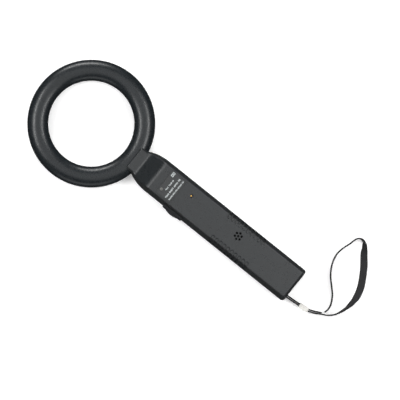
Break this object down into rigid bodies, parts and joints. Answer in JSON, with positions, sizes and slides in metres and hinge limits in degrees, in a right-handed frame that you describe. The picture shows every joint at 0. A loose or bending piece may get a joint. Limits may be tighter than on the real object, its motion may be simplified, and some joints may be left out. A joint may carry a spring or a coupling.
{
  "type": "hand-held ring detector wand",
  "caption": "Hand-held ring-head detector wand: tube ring clamped in a ramped neck, boxy ribbed handle with side rocker switch, small speaker holes, battery door and webbing wrist strap.",
  "frame": {"origin": "middle of the back face's plane, under the centre of the object's box within 1 mm (measured without the strap)", "axes": "+X along the handle away from the ring, +Z out of the face with the label, so the part lies on its back; the rocker switch is on the -Y side"},
  "size_m": [0.4194, 0.1576, 0.0401],
  "materials": {
    "case_plastic": "fine moulded grain, charcoal",
    "ring_plastic": "satin, near black",
    "label_plastic": "satin, slightly lighter charcoal",
    "lens_plastic": "frosted translucent",
    "led_resin": "clear red resin",
    "switch_plastic": "satin black",
    "brass": "bright turned brass",
    "steel": "zinc plated",
    "coil_winding": "taped enamelled wire",
    "trimmer_plastic": "blue moulded",
    "speaker_paper": "pressed paper",
    "ferrite": "sintered",
    "board_laminate": "green solder resist",
    "chip_resin": "moulded",
    "capacitor_sleeve": "shrink sleeve",
    "wire_grey": "matte insulation",
    "wire_red": "matte insulation",
    "wire_black": "matte insulation",
    "battery_can": "plain printed can",
    "webbing": "black twill webbing",
    "tag_cloth": "white woven tape"
  },
  "bodies": {
    "case": {"front_shell": "case_plastic", "rear_shell": "case_plastic", "ring_front_shell": "ring_plastic", "ring_rear_shell": "ring_plastic", "transmit_coil": "coil_winding", "receive_coil": "coil_winding", "coil_lead": "wire_grey", "label_plate": "label_plastic", "indicator_lens": "lens_plastic", "indicator_led": "led_resin", "trimmer_body": "trimmer_plastic", "speaker_basket": "steel", "speaker_cone": "speaker_paper", "speaker_magnet": "ferrite", "speaker_lead": "wire_grey", "circuit_board": "board_laminate", "board_screw_1": "steel", "board_screw_2": "steel", "detector_chip": "chip_resin", "amplifier_chip": "chip_resin", "capacitor_1": "capacitor_sleeve", "capacitor_2": "capacitor_sleeve", "switch_bezel": "switch_plastic", "switch_body": "switch_plastic", "switch_terminal_1": "steel", "switch_terminal_2": "steel", "switch_terminal_3": "steel", "switch_lead": "wire_grey", "battery": "battery_can", "battery_snap": "chip_resin", "battery_lead_red": "wire_red", "battery_lead_black": "wire_black", "case_screw_1": "steel", "case_screw_2": "steel", "case_screw_3": "steel", "case_screw_4": "steel", "strap_anchor_pin": "steel", "wrist_strap": "webbing", "strap_tail": "webbing", "strap_tag": "tag_cloth"},
    "rocker": {"switch_rocker": "switch_plastic"},
    "trimmer": {"trimmer_rotor": "brass"},
    "door": {"battery_door": "case_plastic"}
  },
  "joints": [
    {"name": "switch_rock", "type": "hinge", "parent": "case", "child": "rocker", "pos_m": [0.0231, -0.01883, 0.01986], "axis": [0, 0.1435, 0.9897], "range_deg": [-9, 9]},
    {"name": "trimmer_turn", "type": "hinge", "parent": "case", "child": "trimmer", "pos_m": [0.0279, 0.0059, 0.0355], "axis": [0, 0, 1], "range_deg": [-135, 135]},
    {"name": "battery_door_tilt", "type": "hinge", "parent": "case", "child": "door", "pos_m": [0.1125, 0, 0.001], "axis": [0, 1, 0], "range_deg": [0, 25]}
  ]
}
